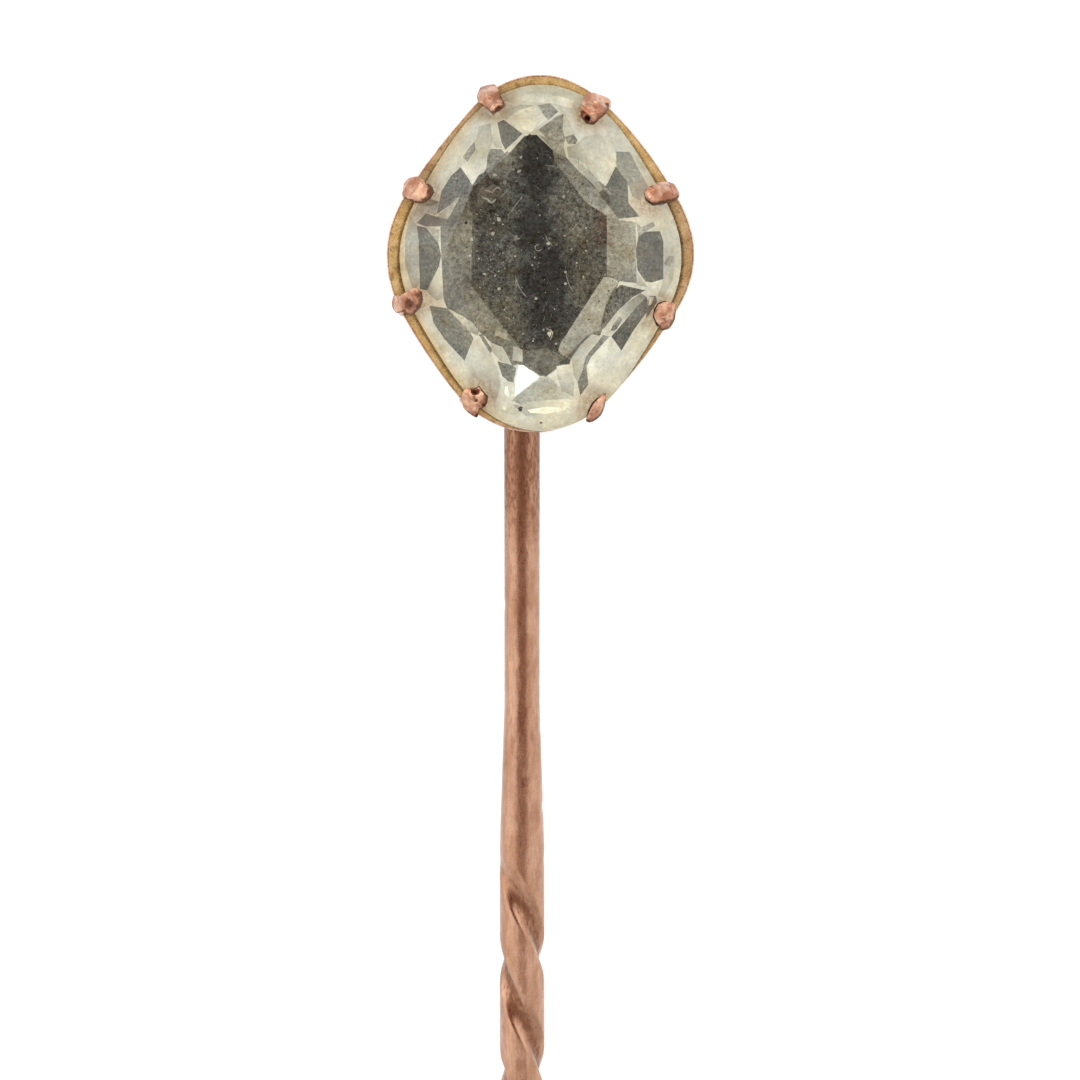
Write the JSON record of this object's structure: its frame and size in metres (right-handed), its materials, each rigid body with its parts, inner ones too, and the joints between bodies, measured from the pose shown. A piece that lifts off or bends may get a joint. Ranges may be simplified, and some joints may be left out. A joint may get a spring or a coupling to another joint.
{
  "type": "stick pin",
  "caption": "Straight dress pin with a claw-set faceted stone in a tapering closed cup, on a round stem that is twisted below the neck and runs to a sharp point.",
  "frame": {"origin": "middle of the cup's flat back, straight below the middle of the stone, on the surface that the pin lies on", "axes": "+Z out of the stone's table, -Y down the stem to its point, +X to the right with the stone facing the viewer and the point down"},
  "size_m": [0.0084, 0.062, 0.0056],
  "materials": {
    "rose_gold": "rose gold, worn and lightly scratched, yellower inside the rim, dark in its corners",
    "stone": "clear, pale straw green, faceted, with worn facet edges"
  },
  "bodies": {
    "root": {"setting": "rose_gold", "stone": "stone"}
  },
  "joints": []
}
